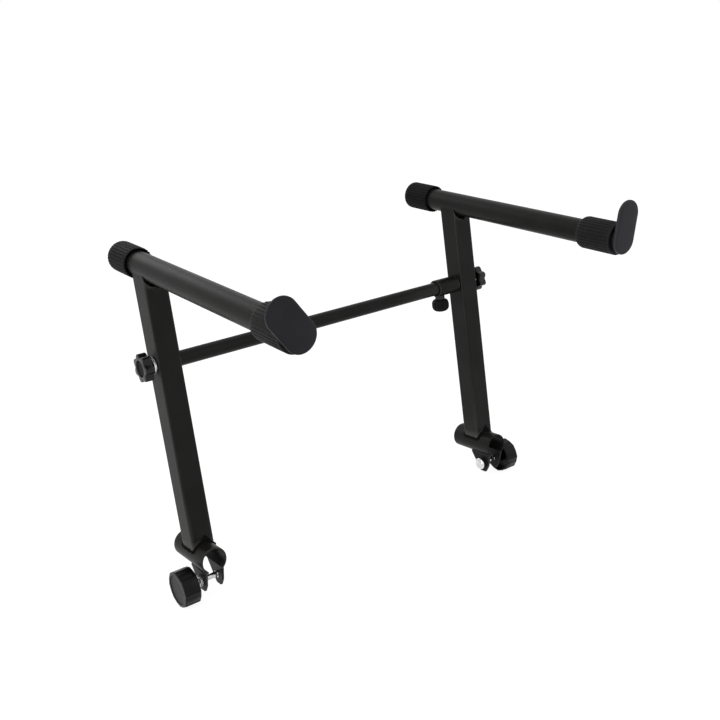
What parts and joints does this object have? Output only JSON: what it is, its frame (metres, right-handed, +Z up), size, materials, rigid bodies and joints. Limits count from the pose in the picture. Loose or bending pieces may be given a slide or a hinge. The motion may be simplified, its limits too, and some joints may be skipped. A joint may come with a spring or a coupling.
{
  "type": "clamp-on keyboard stand tier",
  "caption": "Clamp-on second tier for a keyboard stand: padded support arms on uprights with split tube clamps, joined by a telescoping crossbar.",
  "frame": {"origin": "centre of the left clamp's bore, on its axis and midway along it", "axes": "+X from the left clamp to the right clamp, +Y to the back along the clamp bores, +Z up towards the arms"},
  "size_m": [0.6022, 0.4425, 0.4698],
  "materials": {
    "black_powder_coat": "satin black powder coat on steel",
    "black_rubber": "matte moulded",
    "black_plastic": "matte moulded",
    "bright_zinc": "bright plated steel",
    "plug_steel": "plain steel, hidden inside the tubes",
    "brass_insert": "plain, hidden inside the knobs"
  },
  "bodies": {
    "left_frame": {"left_arm_tube": "black_powder_coat", "left_upright": "black_powder_coat", "left_arm_weld": "black_powder_coat", "left_back_cap": "black_rubber", "left_clamp_tube": "black_powder_coat", "left_clamp_weld": "black_powder_coat", "left_clamp_inner_ear": "black_powder_coat", "left_clamp_outer_ear": "black_powder_coat", "left_clamp_bolt": "bright_zinc", "left_clamp_washers": "bright_zinc", "left_star_washers": "bright_zinc"},
    "right_frame": {"right_arm_tube": "black_powder_coat", "right_upright": "black_powder_coat", "right_arm_weld": "black_powder_coat", "right_back_cap": "black_rubber", "right_clamp_tube": "black_powder_coat", "right_clamp_weld": "black_powder_coat", "right_clamp_inner_ear": "black_powder_coat", "right_clamp_outer_ear": "black_powder_coat", "right_clamp_bolt": "bright_zinc", "right_clamp_washers": "bright_zinc", "right_star_washers": "bright_zinc"},
    "crossbar": {"crossbar_tube": "black_powder_coat", "crossbar_plug": "plug_steel"},
    "sleeve": {"sleeve_tube": "black_powder_coat", "sleeve_plug": "plug_steel", "sleeve_nut": "black_powder_coat"},
    "thumb_stud": {"thumb_stud": "bright_zinc"},
    "thumb_knob": {"thumb_knob": "black_plastic"},
    "left_front_cap": {"left_front_cap": "black_rubber"},
    "left_clamp_insert": {"left_clamp_insert": "brass_insert"},
    "left_clamp_knob": {"left_clamp_knob": "black_plastic"},
    "left_star_stud": {"left_star_stud": "bright_zinc"},
    "left_star_knob": {"left_star_knob": "black_plastic"},
    "right_front_cap": {"right_front_cap": "black_rubber"},
    "right_clamp_insert": {"right_clamp_insert": "brass_insert"},
    "right_clamp_knob": {"right_clamp_knob": "black_plastic"},
    "right_star_stud": {"right_star_stud": "bright_zinc"},
    "right_star_knob": {"right_star_knob": "black_plastic"}
  },
  "joints": [
    {"name": "left_pivot", "type": "hinge", "parent": "left_frame", "child": "crossbar", "pos_m": [0, 0.01465, 0.26209], "axis": [1, 0, 0], "continuous": true},
    {"name": "width_slide", "type": "slide", "parent": "crossbar", "child": "sleeve", "axis": [1, 0, 0], "range_m": [-0.0075, 0.011]},
    {"name": "right_pivot", "type": "hinge", "parent": "sleeve", "child": "right_frame", "pos_m": [0.512, 0.01465, 0.26209], "axis": [1, 0, 0], "continuous": true},
    {"name": "left_star_travel", "type": "slide", "parent": "crossbar", "child": "left_star_stud", "axis": [-1, 0, 0], "range_m": [0, 0.00375]},
    {"name": "left_star_turn", "type": "hinge", "parent": "left_star_stud", "child": "left_star_knob", "pos_m": [-0.0197, 0.01465, 0.26209], "axis": [-1, 0, 0], "range_deg": [0, 1081]},
    {"name": "left_clamp_travel", "type": "slide", "parent": "left_frame", "child": "left_clamp_insert", "axis": [-1, 0, 0], "range_m": [-0.00625, 0.00375]},
    {"name": "left_clamp_turn", "type": "hinge", "parent": "left_clamp_insert", "child": "left_clamp_knob", "pos_m": [-0.02, -0.0198, -0.0306], "axis": [-1, 0, 0], "range_deg": [-1801, 1081]},
    {"name": "left_lip_turn", "type": "hinge", "parent": "left_frame", "child": "left_front_cap", "pos_m": [0, -0.31951, 0.35036], "axis": [0, -0.9951, -0.0993], "continuous": true},
    {"name": "right_star_travel", "type": "slide", "parent": "sleeve", "child": "right_star_stud", "axis": [1, 0, 0], "range_m": [0, 0.00375]},
    {"name": "right_star_turn", "type": "hinge", "parent": "right_star_stud", "child": "right_star_knob", "pos_m": [0.5317, 0.01465, 0.26209], "axis": [1, 0, 0], "range_deg": [0, 1081]},
    {"name": "right_clamp_travel", "type": "slide", "parent": "right_frame", "child": "right_clamp_insert", "axis": [1, 0, 0], "range_m": [0, 0.00625]},
    {"name": "right_clamp_turn", "type": "hinge", "parent": "right_clamp_insert", "child": "right_clamp_knob", "pos_m": [0.532, -0.0198, -0.0306], "axis": [1, 0, 0], "range_deg": [0, 1801]},
    {"name": "right_lip_turn", "type": "hinge", "parent": "right_frame", "child": "right_front_cap", "pos_m": [0.512, -0.30061, 0.35225], "axis": [0, -0.9951, -0.0993], "continuous": true},
    {"name": "thumb_travel", "type": "slide", "parent": "sleeve", "child": "thumb_stud", "axis": [0, 0, -1], "range_m": [0, 0.005]},
    {"name": "thumb_turn", "type": "hinge", "parent": "thumb_stud", "child": "thumb_knob", "pos_m": [0.4641, 0.01465, 0.24409], "axis": [0, 0, -1], "range_deg": [0, 1801]}
  ],
  "couplings": [
    {"joint": "left_star_turn", "follows": "left_star_travel", "rad_per_m": 5026.5},
    {"joint": "left_clamp_turn", "follows": "left_clamp_travel", "rad_per_m": 5026.5},
    {"joint": "right_star_turn", "follows": "right_star_travel", "rad_per_m": 5026.5},
    {"joint": "right_clamp_turn", "follows": "right_clamp_travel", "rad_per_m": 5026.5},
    {"joint": "thumb_turn", "follows": "thumb_travel", "rad_per_m": 6283.2}
  ]
}
